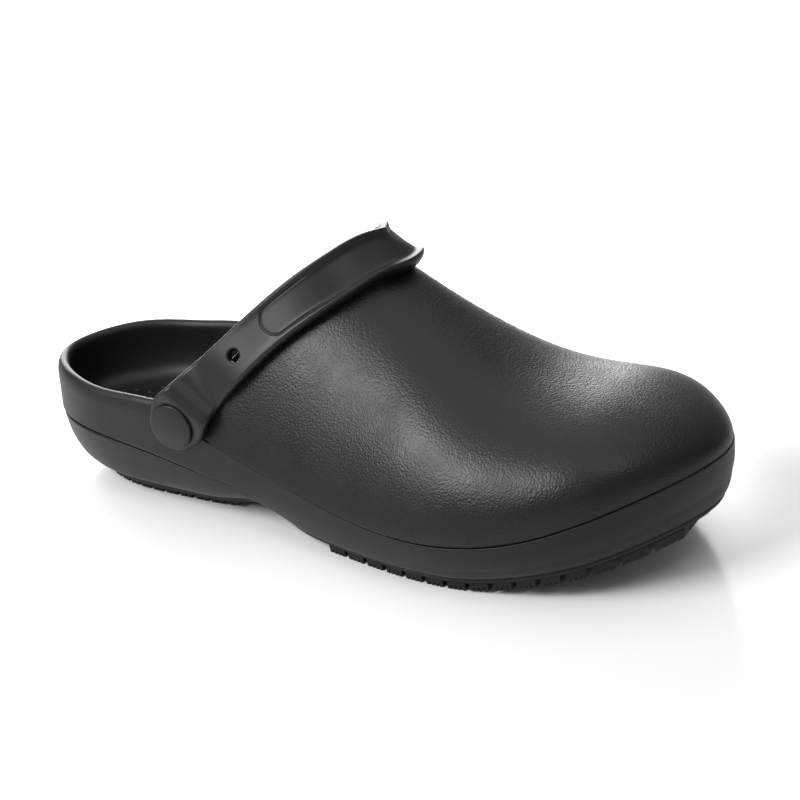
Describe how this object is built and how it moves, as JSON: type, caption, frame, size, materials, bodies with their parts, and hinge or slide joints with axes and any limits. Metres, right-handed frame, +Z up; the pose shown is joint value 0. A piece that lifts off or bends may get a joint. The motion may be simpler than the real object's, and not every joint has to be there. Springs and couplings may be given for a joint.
{
  "type": "chef clog",
  "caption": "Closed-toe moulded work clog for the right foot: grained vamp, open heel cup, strap folded over the instep, lugged anti-slip tread",
  "frame": {"origin": "centre of the bounding box in plan, on the floor plane under the tread", "axes": "+X runs from heel to toe, +Y to the inner (medial) side of this right shoe, +Z up from the floor"},
  "size_m": [0.284, 0.1094, 0.1084],
  "materials": {
    "grained_eva": "satin, fine pebbled grain",
    "smooth_eva": "satin",
    "tread_rubber": "matte",
    "strap_eva": "satin",
    "rivet_plastic": "satin"
  },
  "bodies": {
    "root": {"upper": "grained_eva", "midsole": "smooth_eva", "outsole": "tread_rubber", "strap": "strap_eva", "rivet_lateral": "rivet_plastic", "rivet_medial": "rivet_plastic"}
  },
  "joints": []
}
